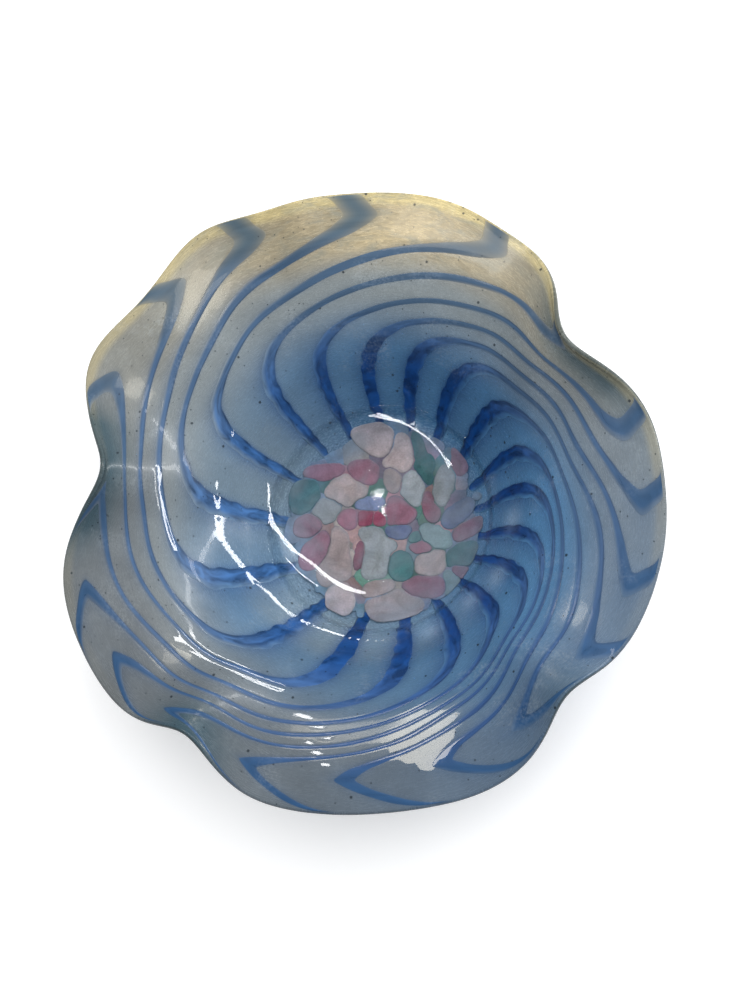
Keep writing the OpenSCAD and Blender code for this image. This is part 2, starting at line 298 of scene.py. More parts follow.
def wall_tint(way, angle):
    """Blue haze round the base, smoke further out, gold along one side of the rim, with painted
    shade, painted sheen and painted light.
    """
    reach = 0.15 * bell(angle, 318, 55)
    blue = 1 - smooth_ramp(way, 0.58 + reach, 0.78 + reach)
    low = bell(angle, 240, 55) * (1 - 0.5 * smooth_ramp(way, 0.52, 0.6))
    haze = mix(BLUE_HAZE, GREY_HAZE, 0.8 * np.maximum(bell(angle, 162, 45), low))
    smoke = mix(SMOKE, COOL_SMOKE, bell(angle, 312, 62))
    colour = mix(smoke, haze, blue)
    # Painted shade: darker grey on the left of the bowl, towards the rim
    painted_left_shade = smooth_ramp(way, 0.73, 0.86) * bell(angle, 205, 60)
    colour = mix(colour, PAINTED_SHADE_GREY, 0.8 * painted_left_shade)
    colour = mix(colour, GOLD, gold_amount(way, angle))
    # Painted sheen: whitish patches on the wall
    colour = mix(colour, PAINTED_SHEEN_WHITE, 0.5 * painted_sheen(way, angle))
    lip = smooth_ramp(way, 0.962, 0.985) * bell(angle, 95, 70)
    # Times the painted light and shade of the wall
    return mix(colour, LIP_GOLD, 0.7 * lip) * painted_light_and_shade(way, angle)[..., None]


def cane_tint(way, angle):
    """Deep blue spokes, thin sweeps, hooks that are greyer on the gold side, and a little painted
    sheen.
    """
    spoke = mix(DEEP_SPOKE, PALE_SPOKE, 0.75 * bell(angle, LEFT_SIDE, 60))
    sweep = mix(THIN_SWEEP, DARK_SWEEP, bell(angle, 290, 50))
    grey = bell(angle, 75, 58) * smooth_ramp(way, 0.64, 0.76)
    sweep = mix(sweep, GREY_SWEEP, 0.85 * grey)
    hook = mix(BLUE_HOOK, GREY_HOOK, bell(angle, 95, 75))
    colour = mix(spoke, sweep, smooth_ramp(way, 0.54, 0.74))
    # Painted sheen on the canes as well
    colour = mix(colour, PAINTED_SHEEN_WHITE, 0.3 * painted_sheen(way, angle))
    return mix(colour, hook, smooth_ramp(way, 0.86, 0.94))


def crisp_side(angle):
    """1 where a cane's dark line is on its far side going round, -1 where it is on its near one."""
    return np.clip(1.6 * np.cos(np.radians(angle + 5)), -1, 1)


# ---------------------------------------------------------------- highlights
# Where the lamps that show in the gloss hang, in millimetres
CEILING_EYE = np.array([1610.0, 940.0, 1190.0])
WINDOW_EYE = np.array([-300.0, 580.0, 1100.0])
LEFT_EYE = np.array([-885.0, -1030.0, 750.0])
# Soft ridges in the polish that catch a lamp: the lamp, the width in millimetres, and a run of
# (way out, angle)
RIDGES = [
    (CEILING_EYE, 2.4, [
        (0.46, 160), (0.449, 163), (0.422, 178), (0.390, 187), (0.355, 196), (0.304, 209),
        (0.276, 231), (0.262, 253),
    ]),
    (LEFT_EYE, 1.9, [
        (0.414, 97), (0.397, 87), (0.385, 77), (0.368, 66), (0.346, 53), (0.331, 45), (0.313, 37),
    ]),
    (CEILING_EYE, 3.0, [
        (0.604, 167), (0.593, 174), (0.577, 187), (0.537, 199), (0.516, 208), (0.492, 216),
        (0.485, 228), (0.468, 244.5), (0.466, 253), (0.475, 276),
    ]),
    (CEILING_EYE, 2.4, [(0.801, 168), (0.793, 174), (0.767, 179), (0.737, 185), (0.712, 192)]),
    (CEILING_EYE, 4.2, [
        (0.80, 215), (0.771, 219), (0.760, 226), (0.748, 234), (0.725, 243), (0.72, 248),
    ]),
    (CEILING_EYE, 1.4, [(0.777, 254), (0.777, 258)]),
    (CEILING_EYE, 1.4, [(0.796, 258), (0.796, 262)]),
    (CEILING_EYE, 1.4, [(0.822, 261), (0.822, 264.5)]),
    (CEILING_EYE, 1.4, [(0.841, 258), (0.841, 260.5)]),
    (CEILING_EYE, 1.6, [(0.863, 260), (0.863, 263)]),
    (CEILING_EYE, 1.4, [(0.889, 262.5), (0.889, 265)]),
    (CEILING_EYE, 1.3, [(0.613, 148), (0.604, 150)]),
    (WINDOW_EYE, 16.0, [(0.79, 285), (0.85, 285.5), (0.90, 285)]),
]
RIDGE_STEPS = 60
RIDGE_TIP = 0.35
# How much wider than a ridge its gloss is
GLOSS_MARGIN = 1.6
PLAIN_GLOSS, RIDGE_GLOSS = 0.15, 0.7


def catch_light(way, angle):
    """How far the polish leans towards a lamp near a ridge, and how near a ridge is, 0 to 1.

    A lean is the step from the wall's own normal to the one that mirrors the lamp to the camera.
    """
    points = inside(way, angle)
    turn = np.zeros_like(points)
    near = np.zeros_like(way)
    step = np.linspace(0, 1, RIDGE_STEPS)
    tapered = RIDGE_TIP + (1 - RIDGE_TIP) * np.sin(np.pi * step) ** 0.4
    for light, width, run in RIDGES:
        line = smooth_at(np.array(run, float), step)
        crest = inside(line[:, 0], line[:, 1])
        to_lamp, to_camera = unit(light - crest), unit(CAMERA_EYE - crest)
        lean = unit(to_lamp + to_camera) + outward(line[:, 0], line[:, 1])
        gaps = np.linalg.norm(points[..., None, :] - crest, axis=-1)
        closest = gaps.argmin(-1)
        reach = gaps.min(-1) / (width * tapered[closest])
        turn += lean[closest] * np.exp(-(reach**4))[..., None]
        near = np.maximum(near, np.exp(-((reach / GLOSS_MARGIN) ** 4)))
    return turn, near


# ---------------------------------------------------------------- meshes
def grid_faces(rows, columns, closed):
    """Quads between rows of points. A closed grid runs round to its first column."""
    spans = columns if closed else columns - 1
    row, column = np.meshgrid(np.arange(rows - 1), np.arange(spans), indexing="ij")
    beside = (column + 1) % columns
    corners = [
        row * columns + column, (row + 1) * columns + column,
        (row + 1) * columns + beside, row * columns + beside,
    ]
    return np.stack(corners, -1).reshape(-1, 4).tolist()


def add_piece(name, points, faces, material):
    """A smooth mesh, from points in millimetres, that rides on the bowl."""
    mesh = bpy.data.meshes.new(name)
    mesh.from_pydata((points.reshape(-1, 3) * MM).tolist(), [], faces)
    mesh.validate()
    mesh.shade_smooth()
    mesh.materials.append(material)
    piece = bpy.data.objects.new(name, mesh)
    bpy.context.scene.collection.objects.link(piece)
    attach(piece, "root")
    return piece


def paint(piece, name, values):
    """Stores a number, or three, at each point of a grid for the material to read."""
    threes = values.ndim == 3
    layer = piece.data.attributes.new(name, "FLOAT_VECTOR" if threes else "FLOAT", "POINT")
    layer.data.foreach_set("vector" if threes else "value", values.astype(np.float32).ravel())


def paint_gloss(piece, ways, angles):
    """Stores the lean of the polish, and how glossy it is: a little worn but for its ridges."""
    turn, near = catch_light(ways, angles)
    paint(piece, "turn", turn)
    paint(piece, "shine", PLAIN_GLOSS + RIDGE_GLOSS * near)


# ---------------------------------------------------------------- materials
class Graph:
    """A material's nodes, each added and wired in one call."""

    def __init__(self, name):
        self.material = bpy.data.materials.new(name)
        self.material.use_nodes = True
        self.tree = self.material.node_tree
        self.shader = self.tree.nodes["Principled BSDF"]
        self.output = self.tree.nodes["Material Output"]

    def add(self, kind, inputs=None, **settings):
        """A new node. An input is a value, or another node's socket."""
        node = self.tree.nodes.new(kind)
        for key, value in settings.items():
            setattr(node, key, value)
        for key, value in (inputs or {}).items():
            self.put(node.inputs[key], value)
        return node

    def put(self, socket, value):
        if isinstance(value, bpy.types.NodeSocket):
            self.tree.links.new(value, socket)
        else:
            socket.default_value = value

    def attribute(self, name, output="Vector"):
        return self.add("ShaderNodeAttribute", attribute_name=name).outputs[output]

    def place(self):
        """Where a point is on the bowl, in metres."""
        return self.add("ShaderNodeTexCoord").outputs["Object"]

    def noise(self, vector, scale, detail=3.0, roughness=0.5, distortion=0.0):
        inputs = {
            "Vector": vector, "Scale": scale, "Detail": detail,
            "Roughness": roughness, "Distortion": distortion,
        }
        return self.add("ShaderNodeTexNoise", inputs).outputs["Fac"]

    def stretch(self, vector, x, y, z):
        """The vector with each part scaled, for noise that is longer one way."""
        inputs = {0: vector, 1: (x, y, z)}
        return self.add("ShaderNodeVectorMath", inputs, operation="MULTIPLY").outputs[0]

    def span(self, value, low, high, to_low=0.0, to_high=1.0):
        """The value, carried from the range low to high over to another, and held at its ends."""
        inputs = {
            "Value": value, "From Min": low, "From Max": high,
            "To Min": to_low, "To Max": to_high,
        }
        return self.add("ShaderNodeMapRange", inputs, clamp=True).outputs["Result"]

    def maths(self, operation, a, b):
        return self.add("ShaderNodeMath", {0: a, 1: b}, operation=operation).outputs[0]

    def times(self, a, b):
        return self.maths("MULTIPLY", a, b)

    def blend(self, factor, a, b):
        """From colour a to colour b as the factor goes from 0 to 1."""
        mixer = self.add("ShaderNodeMix", {0: factor, 6: a, 7: b}, data_type="RGBA")
        return mixer.outputs[2]

    def scale_colour(self, colour, amount):
        """The colour made lighter or darker by a number that varies over the surface."""
        inputs = {0: colour, "Scale": amount}
        return self.add("ShaderNodeVectorMath", inputs, operation="SCALE").outputs[0]

    def bump(self, height, distance, strength=1.0):
        inputs = {"Height": height, "Distance": distance, "Strength": strength}
        return self.add("ShaderNodeBump", inputs).outputs["Normal"]

    def turned(self, normal):
        """A normal leaned over by the amount painted on the piece."""
        inputs = {0: normal, 1: self.attribute("turn")}
        leaned = self.add("ShaderNodeVectorMath", inputs, operation="ADD").outputs[0]
        return self.add("ShaderNodeVectorMath", {0: leaned}, operation="NORMALIZE").outputs[0]

    def own_normal(self):
        return self.add("ShaderNodeNewGeometry").outputs["Normal"]

    def set(self, **sockets):
        """Values for the shader's own sockets, named with underscores for spaces."""
        for key, value in sockets.items():
            self.put(self.shader.inputs[key.replace("_", " ")], value)


def swatch(red, green, blue):
    """A display colour, 0 to 255, as a shader's socket takes it."""
    return (*(float(c) for c in rgb(red, green, blue)), 1.0)


def seeds(graph, place, spacing, size, share=0.25):
    """1 inside the fine dark seeds that are trapped in the glass, 0 outside. Metres.

    There is a cell for a seed at each spacing, and a seed in a share of the cells.
    """
    cells = graph.add("ShaderNodeTexVoronoi", {"Vector": place, "Scale": 1 / spacing})
    chance = graph.add("ShaderNodeSeparateColor", {"Color": cells.outputs["Color"]})
    radius = graph.span(chance.outputs["Red"], 1 - share, 1.06 - share, 0.0, size / spacing)
    gap = graph.maths("SUBTRACT", radius, cells.outputs["Distance"])
    return graph.span(gap, 0.0, 0.3 * size / spacing)


def frost(graph, place):
    """0 to 1 in the cloudy, sparkling patches of the surface."""
    patches = graph.noise(place, 38.0, detail=3.0, roughness=0.6, distortion=0.5)
    patches = graph.span(patches, 0.54, 0.72)
    grain = graph.noise(place, 850.0, detail=2.0, roughness=0.7)
    return graph.times(patches, graph.span(grain, 0.42, 0.66))


def opal_glass():
    """Grey-blue opalescent glass with silky streaks, gold at the rim, and dark seeds."""
    graph = Graph("opal_glass")
    place = graph.place()
    flow = graph.attribute("flow")
    gold = graph.attribute("gold", "Fac")
    # Streaks that run round the bowl, strong in the gold, over soft clouds and a fine grain
    streaks = graph.stretch(flow, 26, 26, 240)
    silk = graph.noise(streaks, 1.0, detail=5.0, roughness=0.68, distortion=1.1)
    clouds = graph.noise(place, 34.0, detail=4.0, roughness=0.6)
    grain = graph.noise(place, 700.0, detail=3.0, roughness=0.6)
    gold_silk = graph.times(graph.span(silk, 0.34, 0.66, 0.72, 1.3), gold)
    plain = graph.maths("SUBTRACT", 1.0, gold)
    plain_silk = graph.times(graph.span(silk, 0.3, 0.7, 0.96, 1.04), plain)
    shade = graph.maths("ADD", gold_silk, plain_silk)
    shade = graph.times(shade, graph.span(clouds, 0.3, 0.7, 0.88, 1.12))
    shade = graph.times(shade, graph.span(grain, 0.3, 0.7, 0.95, 1.05))
    colour = graph.scale_colour(graph.attribute("tint"), shade)
    # Grey tarnish in the gold, frost, seeds
    blotches = graph.stretch(flow, 9, 9, 40)
    patchy = graph.noise(blotches, 1.0, detail=4.0, roughness=0.6, distortion=0.8)
    tarnish = graph.times(graph.span(patchy, 0.46, 0.64, 0.0, 0.55), gold)
    colour = graph.blend(tarnish, colour, swatch(132, 136, 128))
    frosted = frost(graph, place)
    colour = graph.blend(graph.times(frosted, 0.2), colour, swatch(196, 206, 212))
    fine = seeds(graph, place, 0.0027, 0.00042)
    coarse = seeds(graph, place, 0.0061, 0.0008, share=0.3)
    specks = graph.maths("MAXIMUM", fine, coarse)
    colour = graph.blend(graph.times(specks, 0.85), colour, swatch(26, 36, 46))
    ripple = graph.noise(place, 60.0, detail=2.0)
    sparkle = graph.times(graph.noise(place, 1000.0, detail=2.0, roughness=0.6), frosted)
    graph.set(
        Base_Color=colour,
        Roughness=graph.span(silk, 0.3, 0.7, 0.20, 0.32),
        Transmission_Weight=0.25,
        IOR=1.5,
        Specular_IOR_Level=0.25,
        Coat_Weight=graph.attribute("shine", "Fac"),
        Coat_Roughness=0.04,
        Coat_Normal=graph.turned(graph.bump(sparkle, 0.00012, 0.3)),
        Normal=graph.bump(ripple, 0.0006, 0.5),
    )
    return graph.material


def cane_glass():
    """Blue cane with a dark line along one side, fading into the wall on the other."""
    graph = Graph("blue_cane_glass")
    place = graph.place()
    flow = graph.attribute("flow")
    parts = graph.add("ShaderNodeSeparateXYZ", {"Vector": flow})
    lean, spoke = parts.outputs["Y"], parts.outputs["Z"]
    across = graph.attribute("across", "Fac")
    # Mottling, strong in the spokes, and the dark line
    along_cane = graph.stretch(flow, 1.1, 1.3, 0.0)
    mottle = graph.noise(along_cane, 1.0, detail=4.0, roughness=0.55, distortion=0.9)
    lit = graph.times(graph.span(mottle, 0.36, 0.66, 0.62, 1.6), spoke)
    sweep = graph.maths("SUBTRACT", 1.0, spoke)
    plain = graph.times(graph.span(mottle, 0.3, 0.7, 0.85, 1.18), sweep)
    shade = graph.maths("ADD", lit, plain)
    line = graph.span(lean, 0.45, 0.85, 1.0, 0.55)
    colour = graph.scale_colour(graph.attribute("tint"), graph.times(shade, line))
    # The ragged fade into the wall, frost, seeds
    ragged = graph.span(mottle, 0.35, 0.62, 0.7, 1.25)
    fade = graph.times(graph.span(lean, -0.2, -1.0, 0.0, 0.9), ragged)
    rim = graph.span(across, 0.8, 1.0, 0.0, 0.6)
    colour = graph.blend(graph.maths("MAXIMUM", fade, rim), colour, graph.attribute("panel"))
    frosted = graph.times(frost(graph, place), 0.2)
    colour = graph.blend(frosted, colour, swatch(170, 186, 206))
    specks = seeds(graph, place, 0.0045, 0.0005)
    colour = graph.blend(graph.times(specks, 0.7), colour, swatch(10, 22, 42))
    ripple = graph.noise(place, 90.0, detail=2.0)
    graph.set(
        Base_Color=colour,
        Roughness=graph.span(mottle, 0.3, 0.7, 0.26, 0.38),
        Transmission_Weight=0.15,
        IOR=1.5,
        Specular_IOR_Level=0.12,
        Coat_Weight=graph.attribute("shine", "Fac"),
        Coat_Roughness=0.04,
        Coat_Normal=graph.turned(graph.own_normal()),
        Normal=graph.bump(ripple, 0.0003, 0.4),
    )
    return graph.material


def clear_glass():
    """Nearly clear glass. Lamps shine through it, so that what lies under it stays lit."""
    graph = Graph("clear_glass")
    haze = graph.noise(graph.place(), 120.0)
    graph.set(
        Base_Color=graph.blend(haze, swatch(226, 236, 240), swatch(238, 244, 246)),
        Roughness=graph.span(haze, 0.3, 0.7, 0.03, 0.10),
        Transmission_Weight=1.0,
        IOR=1.15,
        Coat_Weight=0.8,
        Coat_Roughness=0.03,
        Coat_Normal=graph.turned(graph.own_normal()),
    )
    see_through = graph.add("ShaderNodeBsdfTransparent").outputs[0]
    shadow_ray = graph.add("ShaderNodeLightPath").outputs["Is Shadow Ray"]
    inputs = {0: shadow_ray, 1: graph.shader.outputs[0], 2: see_through}
    both = graph.add("ShaderNodeMixShader", inputs)
    graph.put(graph.output.inputs["Surface"], both.outputs[0])
    return graph.material


def chip_glass():
    """Opaque frit: cloudy, with soft edges that melt into the haze, and a dark line along some."""
    graph = Graph("frit_glass")
    place = graph.place()
    edge = graph.attribute("edge", "Fac")
    cloud = graph.noise(place, 110.0, detail=4.0, roughness=0.6, distortion=0.6)
    grain = graph.noise(place, 1100.0, detail=2.0)
    cloudy = graph.span(cloud, 0.3, 0.7, 0.72, 1.28)
    shade = graph.times(cloudy, graph.span(grain, 0.3, 0.7, 0.9, 1.1))
    colour = graph.scale_colour(graph.attribute("tint"), shade)
    veil = graph.noise(place, 60.0, roughness=0.55, distortion=0.4)
    colour = graph.blend(graph.span(veil, 0.42, 0.66, 0.0, 0.45), colour, swatch(116, 124, 134))
    soft = graph.span(edge, 0.3, 1.0, 0.0, 0.32)
    soft = graph.times(soft, graph.span(cloud, 0.35, 0.65, 0.5, 1.2))
    colour = graph.blend(soft, colour, swatch(70, 96, 112))
    broken = graph.span(graph.noise(place, 75.0, detail=2.0), 0.48, 0.60)
    dark = graph.times(graph.span(edge, 0.82, 1.0), broken)
    colour = graph.blend(graph.times(dark, 0.8), colour, swatch(24, 46, 56))
    graph.set(
        Base_Color=colour,
        Roughness=graph.span(cloud, 0.3, 0.7, 0.3, 0.45),
        Specular_IOR_Level=0.1,
    )
    return graph.material


# ---------------------------------------------------------------- the wall
BASE_ROWS = 16
WALL_ROWS = 156
LIP_ROWS = 7
OUTER_ROWS = 44
# Way out of the edge of the pocket under the casing, and of the foot of its side
POCKET_LIP = 0.44
POCKET_TOE = 0.40
POCKET_DEPTH = 1.9
GROOVE_DEPTH = 0.08
# How blue the wall is beside a spoke and beside a sweep
SPOKE_GLOW = 0.55
SWEEP_GLOW = 0.3
# Stands for the distance to a cane where there is none near, in half widths
FAR = 9.0
BACKWARDS = slice(None, None, -1)


def pocket_dip(way):
    """How far the wall is hollowed out under the clear glass of the base."""
    return POCKET_DEPTH * smooth_ramp(way, POCKET_LIP, POCKET_TOE)


def sunk(way, angle, depth):
    """Points below the inside of the wall, in a pocket or a groove."""
    return inside(way, angle) + outward(way, angle) * (depth + pocket_dip(way))[..., None]


def groove(past, ahead):
    """Depth of the channels that the canes lie in, from the distances to the canes on each side."""
    offset = np.minimum(np.abs(past), np.abs(ahead))
    return GROOVE_DEPTH * np.exp(-((offset / 1.15) ** 4))


def glow(ways, past, ahead, angle):
    """How much of the canes' blue is in the wall: crisp on one side of each, soft on the other."""
    side = crisp_side(angle)
    beyond = np.where(past >= 0, past, FAR) - 0.9
    before = np.where(ahead <= 0, -ahead, FAR) - 0.9
    far = np.exp(-np.maximum(beyond, 0) / (0.62 - 0.42 * side))
    near = np.exp(-np.maximum(before, 0) / (0.62 + 0.42 * side))
    strength = SPOKE_GLOW + (SWEEP_GLOW - SPOKE_GLOW) * smooth_ramp(ways, 0.62, 0.78)
    return strength * np.maximum(far, near)


def round_lip(inner, outer, ways, angles):
    """Half rings of points that join the inner edge of the rim to the outer one."""
    middle = (inner + outer) / 2
    half = inner - middle
    reach = along(ways, angles) * np.linalg.norm(half, axis=-1, keepdims=True)
    turns = np.radians(180 * np.arange(1, LIP_ROWS + 1) / (LIP_ROWS + 1))[:, None, None]
    return middle + half * np.cos(turns) + reach * np.sin(turns)


def wall_surface():
    """Points of the wall, from the middle of its inside over the lip to the middle of its outside.

    With them come each point's way out, its angle, and its distances past the canes beside it.
    """
    ways, angles, past, ahead = flow_grid(np.linspace(0, RUN_LAST, WALL_ROWS))
    ways = ways + bow(ways, angles)
    base = POCKET_WAY * (1 - (1 - np.linspace(0.02, 1, BASE_ROWS, endpoint=False)) ** 2)
    base_ways, base_angles = np.meshgrid(base, angles[0], indexing="ij")
    lip_ways, lip_angles = np.meshgrid(np.ones(LIP_ROWS), angles[-1], indexing="ij")
    outer_grid = flow_grid(np.linspace(0, RUN_LAST, OUTER_ROWS))
    outer_ways, outer_angles, outer_past, outer_ahead = (values[BACKWARDS] for values in outer_grid)
    outer_ways = outer_ways + bow(outer_ways, outer_angles)
    under_ways = base_ways[BACKWARDS]

    inner = sunk(ways, angles, groove(past, ahead))
    outer = outside(outer_ways, outer_angles)
    points = np.concatenate([
        sunk(base_ways, base_angles, 0 * base_ways),
        inner,
        round_lip(inner[-1], outer[0], lip_ways[0], lip_angles[0]),
        outer,
        outside(under_ways, base_angles),
    ])
    far = np.full_like(base_ways, FAR)
    lip_past, lip_ahead = (np.repeat(values[-1:], LIP_ROWS, axis=0) for values in (past, ahead))
    return (
        points,
        np.concatenate([base_ways, ways, lip_ways, outer_ways, under_ways]),
        np.concatenate([base_angles, angles, lip_angles, outer_angles, base_angles]),
        np.concatenate([far, past, lip_past, outer_past, far]),
        np.concatenate([-far, ahead, lip_ahead, outer_ahead, -far]),
    )


def full_wall_tint(ways, angles, past, ahead):
    """The wall's colour with the canes' glow, dark folds, the line of the lip and a hazy base."""
    tint = mix(wall_tint(ways, angles), cane_tint(ways, angles), glow(ways, past, ahead, angles))
    folds = ramp(fold_sum(angles, 1), 3, 15) * smooth_ramp(ways, 0.85, 0.97)
    folds = folds * (1 - 0.7 * bell(angles, 52, 14))
    tint = mix(tint, TEAL_EDGE, 0.85 * folds)
    tint = mix(tint, LIP_GOLD, 0.6 * smooth_ramp(ways, 0.955, 0.98) * bell(angles, 70, 50))
    lip_start = BASE_ROWS + WALL_ROWS + 2
    lip = slice(lip_start, lip_start + LIP_ROWS)
    tint[lip] = mix(tint[lip], LIP_LINE, 0.8)
    tint = mix(tint, BASE_HAZE, smooth_ramp(ways, 0.42, 0.32))
    return tint * (1 + 0.1 * smooth_ramp(ways, 0.45, 0.42)[..., None])


def build_wall(material):
    points, ways, angles, past, ahead = wall_surface()
    rows, columns = ways.shape
    faces = grid_faces(rows, columns, closed=True)
    faces.append(list(range(columns)))
    faces.append(list(range((rows - 1) * columns, rows * columns))[BACKWARDS])
    wall = add_piece("bowl_wall_glass", points, faces, material)
    radians = np.radians(angles)
    paint(wall, "tint", full_wall_tint(ways, angles, past, ahead))
    paint(wall, "flow", np.stack([np.cos(radians), np.sin(radians), ways], -1))
    paint(wall, "gold", gold_amount(ways, angles))
    paint_gloss(wall, ways, angles)
    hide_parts("bowl_wall")
    return wall


# ---------------------------------------------------------------- the canes
CANE_ROWS = 210
CANE_COLUMNS = 13
CANE_DEPTH = 0.9
CANE_CROWN = 0.04
CANE_EDGE_SINK = 0.08
# The tail that runs in under the chips: its steps of the run, its way out for each, its rise
TAIL_STEPS = 1.6
TAIL_PACE = 0.05
TAIL_LIFT = 0.16
BLUNT_STEPS = 0.5
# How far a sweep's and a spoke's edges wander, in half widths
RAGGED_SWEEP, RAGGED_SPOKE = 0.08, 0.30
# Keeps the mottling of one cane from running on into the next
MOTTLE_GAP = 40


def wobble(u, seed, waves=6):
    """A ragged edge along a cane: a few sine waves with seeded phases, about -1 to 1."""
    source = np.random.default_rng(seed)
    phases = source.uniform(0, 2 * np.pi, waves)
    speeds = source.uniform(1.2, 9.0, waves)
    return sum(np.sin(u * s + p) for s, p in zip(speeds, phases)) / waves


def cane_grid(number, cane, u, spoke, sides):
    """Ways and angles of a cane's top, one row for each step in u, with ragged edges."""
    way, angle = cane_middle(cane, np.maximum(u, 0))
    way = way + TAIL_PACE * np.minimum(u, 0)
    ragged = RAGGED_SWEEP + (RAGGED_SPOKE - RAGGED_SWEEP) * spoke
    ragged = ragged * ramp(u, RUN_LAST, RUN_LAST - 3)
    from_end = ramp(u, -TAIL_STEPS, -TAIL_STEPS + BLUNT_STEPS)
    blunt = np.sqrt(np.clip(1 - (1 - from_end) ** 2, 0.02, 1))
    half = half_width(cane, u) * blunt
    left = 1 + ragged * wobble(u, 2 * number)
    right = 1 + ragged * wobble(u, 2 * number + 1)
    spread = np.where(sides[None] < 0, left[:, None], right[:, None]) * sides[None]
    angles = angle[:, None] + half[:, None] * spread
    ways = np.repeat(way[:, None], CANE_COLUMNS, 1)
    return ways + bow(ways, angles), angles


def build_cane(number, cane, material):
    """A lens-shaped cane, sunk in the wall. Its tail runs in under the chips."""
    u = np.linspace(-TAIL_STEPS, RUN_LAST, CANE_ROWS)
    spoke = 1 - smooth_ramp(u, 4, 7)
    sides = np.linspace(-1, 1, CANE_COLUMNS)
    ways, angles = cane_grid(number, cane, u, spoke, sides)
    dome = (1 - sides**2)[None]
    lift = TAIL_LIFT * ramp(ways, POCKET_LIP + 0.005, POCKET_LIP - 0.02)
    top = sunk(ways, angles, CANE_EDGE_SINK - (CANE_EDGE_SINK + CANE_CROWN) * dome - lift)
    under = sunk(ways, angles, CANE_EDGE_SINK + CANE_DEPTH * dome + 0 * ways)
    loop = np.concatenate([top, under[:, -2:0:-1]], 1)
    columns = loop.shape[1]
    faces = grid_faces(CANE_ROWS, columns, closed=True)
    faces.append(list(range(columns)))
    faces.append(list(range((CANE_ROWS - 1) * columns, CANE_ROWS * columns))[BACKWARDS])
    name = f"stripe_{number:02d}"
    piece = add_piece(name + "_glass", loop, faces, material)

    order = list(range(CANE_COLUMNS)) + list(range(CANE_COLUMNS - 2, 0, -1))
    across = np.broadcast_to(sides[order], (CANE_ROWS, columns))
    run = np.broadcast_to((u + MOTTLE_GAP * number)[:, None], across.shape)
    ways, angles = ways[:, order], angles[:, order]
    golden = 0.2 + 0.8 * bell(angles, 85, 75)
    lean = across * crisp_side(angles) * (1 - 0.9 * golden * smooth_ramp(ways, 0.86, 0.93))
    panel = wall_tint(ways, angles)
    brushed = 0.55 * golden * smooth_ramp(ways, 0.86, 0.95) * across**2
    paint(piece, "tint", mix(cane_tint(ways, angles), panel, brushed))
    paint(piece, "panel", panel)
    paint(piece, "flow", np.stack([run, lean, np.broadcast_to(spoke[:, None], across.shape)], -1))
    paint(piece, "across", np.abs(across))
    paint_gloss(piece, ways, angles)
    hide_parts(name)
    return piece


# ---------------------------------------------------------------- base: casing, chips, foot
CASING_ROWS = 64
CASING_COLUMNS = 240
CASING_SINK = 0.12
CASING_MIDDLE = 0.01


def rings(ways):
    """Ways and angles of a grid with one ring for each way out."""
    angles = np.arange(CASING_COLUMNS) * 360 / CASING_COLUMNS
    return np.meshgrid(ways, angles, indexing="ij")


def build_casing(material):
    """Clear glass over the chips, flush with the inside of the wall."""
    ways, angles = rings(np.linspace(CASING_MIDDLE, POCKET_LIP + 0.005, CASING_ROWS))
    top = inside(ways, angles)
    top[-1, :, 2] -= CASING_SINK
    floor_ways, floor_angles = rings(np.linspace(POCKET_LIP, CASING_MIDDLE, CASING_ROWS))
    floor = sunk(floor_ways, floor_angles, CASING_SINK + 0 * floor_ways)
    points = np.concatenate([top, floor])
    faces = grid_faces(len(points), CASING_COLUMNS, closed=True)
    faces.append(list(range(CASING_COLUMNS)))
    last = len(points) - 1
    faces.append(list(range(last * CASING_COLUMNS, (last + 1) * CASING_COLUMNS))[BACKWARDS])
    casing = add_piece("inner_casing_glass", points, faces, material)
    all_ways = np.concatenate([ways, floor_ways])
    turn = catch_light(all_ways, np.concatenate([angles, floor_angles]))[0]
    turn[CASING_ROWS:] = 0
    paint(casing, "turn", turn)
    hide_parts("inner_casing")
    return casing


# Chips, seen as outlines round the middle of the base, in millimetres
CHIP_RAYS = 40
RAY_TURNS = np.arange(CHIP_RAYS) * 2 * np.pi / CHIP_RAYS
RAYS = np.stack([np.cos(RAY_TURNS), np.sin(RAY_TURNS)], -1)
# How far a chip may swell until it meets the next, the gap left between them, the disc's edge
CHIP_SWELL = 1.7
CHIP_GAP = 0.06
CHIP_REACH = 52.0
SWELL_STEPS = 60
LEAST_SWELL = 0.3
LEAST_CHIP = 0.5
NEIGHBOURS_WITHIN = 32
SMOOTHINGS = 2
# Depths under the inside of the bowl: tops of the named chips and of the bed, bottoms of both
CHIP_TOP = 0.6
BED_TOP = 0.85
CHIP_BOTTOM = 1.88
# Distance in from the edge, as a part of the way to the middle, and rise, of a chip's upper half
CHIP_DOME = [
    (0, 0), (0.01, 0.6), (0.03, 0.85), (0.09, 0.96), (0.2, 1), (0.32, 1), (0.6, 1), (0.96, 1),
]
EDGE_WIDTH = 0.3
# The bed of crumbs: tries at placing one, least distance apart, reach, swelling, overlap, and how
# far its edge wanders
BED_DARTS = 4000
BED_SPACING = 8.5
BED_REACH = 46.0
BED_SWELL = 2.2
BED_OVERLAP = 0.6
BED_UNEVEN = 3.0


def outline_of(node):
    """Middle of a CAD chip, and its reach along each ray."""
    flat = np.array([v.co[:2] for v in node.data.vertices]) / MM
    ring = flat[convex_hull_2d([Vector(p) for p in flat])]
    middle = ring.mean(0)
    ring = ring - middle
    turns = np.arctan2(ring[:, 1], ring[:, 0])
    order = np.argsort(turns)
    lengths = np.linalg.norm(ring, axis=1)
    return middle, np.interp(RAY_TURNS, turns[order], lengths[order], period=2 * np.pi)


